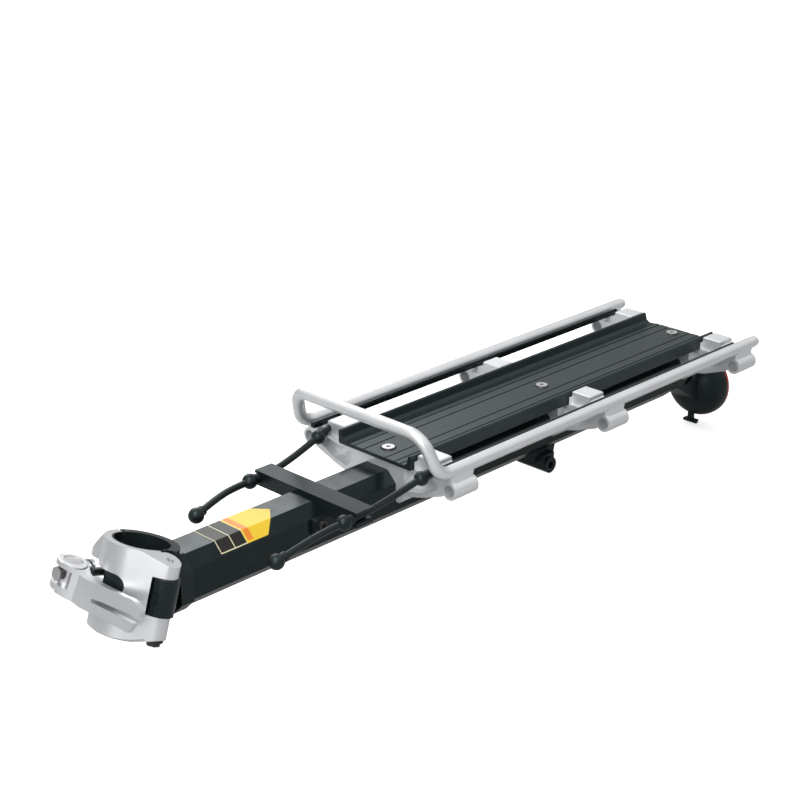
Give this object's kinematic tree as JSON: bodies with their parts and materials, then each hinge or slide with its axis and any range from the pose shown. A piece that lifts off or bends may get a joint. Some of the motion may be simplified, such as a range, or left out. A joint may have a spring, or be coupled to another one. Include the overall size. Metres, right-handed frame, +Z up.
{
  "type": "rear rack",
  "caption": "Seatpost-mounted bicycle rear rack: quick-release clamp, boxed beam, grooved load tray, bent side rails, straps and a rear reflector.",
  "frame": {"origin": "centre of the seatpost clamp's bore, halfway up the clamp", "axes": "+X rearward along the beam, +Y toward the clamp's bolt side, +Z up with the load tray level; the clamp's bore leans 18 degrees rearward"},
  "size_m": [0.5744, 0.133, 0.1142],
  "materials": {
    "black_casting": "satin black paint over cast aluminium",
    "silver_casting": "satin silver paint over cast aluminium",
    "bright_jaw": "polished and clear-coated cast aluminium",
    "liner_plastic": "matte moulded sleeve",
    "steel_hardware": "zinc-plated steel",
    "black_hardware": "black oxide steel",
    "lever_metal": "polished cast aluminium",
    "beam_paint": "satin black anodised tube",
    "rail_paint": "satin silver paint over aluminium rod",
    "plate_paint": "satin black anodised extrusion",
    "black_plastic": "fine-grained moulded plastic",
    "strap_rubber": "smooth moulded rubber",
    "red_lens": "clear red moulded lens"
  },
  "bodies": {
    "rack": {"clamp_head": "black_casting", "rear_liner": "liner_plastic", "hinge_pin": "steel_hardware", "hinge_nut": "black_hardware", "bolt_pivot_pin": "black_hardware", "beam": "beam_paint", "front_bracket": "silver_casting", "middle_bracket": "silver_casting", "rear_bracket": "silver_casting", "side_rail_hoop": "rail_paint", "rail_end_plugs": "rail_paint", "near_side_strip": "black_plastic", "far_side_strip": "black_plastic", "top_plate": "plate_paint", "screw_cups": "steel_hardware", "plate_screws": "steel_hardware", "strap_bar": "black_plastic", "strap_bar_screws": "black_hardware", "near_strap": "strap_rubber", "far_strap": "strap_rubber", "near_strap_knobs": "strap_rubber", "far_strap_knobs": "strap_rubber", "under_socket": "black_plastic", "under_socket_bolt": "black_hardware", "reflector_holder": "black_plastic", "reflector_lens": "red_lens"},
    "jaw": {"front_jaw": "bright_jaw", "front_liner": "liner_plastic"},
    "bolt": {"swing_bolt": "steel_hardware", "saddle_washer": "steel_hardware", "cam_barrel": "steel_hardware", "adjusting_nut": "steel_hardware"},
    "lever": {"cam_lever": "lever_metal"}
  },
  "joints": [
    {"name": "bolt_swing", "type": "hinge", "parent": "rack", "child": "bolt", "pos_m": [0.02092, 0.0215, -0.0068], "axis": [-0.309, 0, -0.9511], "range_deg": [0, 90]},
    {"name": "jaw_hinge", "type": "hinge", "parent": "rack", "child": "jaw", "pos_m": [0.00048, -0.0245, -0.00015], "axis": [0.309, 0, 0.9511], "range_deg": [0, 31]},
    {"name": "lever_pivot", "type": "hinge", "parent": "bolt", "child": "lever", "pos_m": [-0.02651, 0.0215, 0.00903], "axis": [-0.3052, 0.1564, -0.9393], "range_deg": [0, 150]}
  ],
  "couplings": [
    {"joint": "jaw_hinge", "follows": "bolt_swing", "ratio": 0.33333}
  ]
}
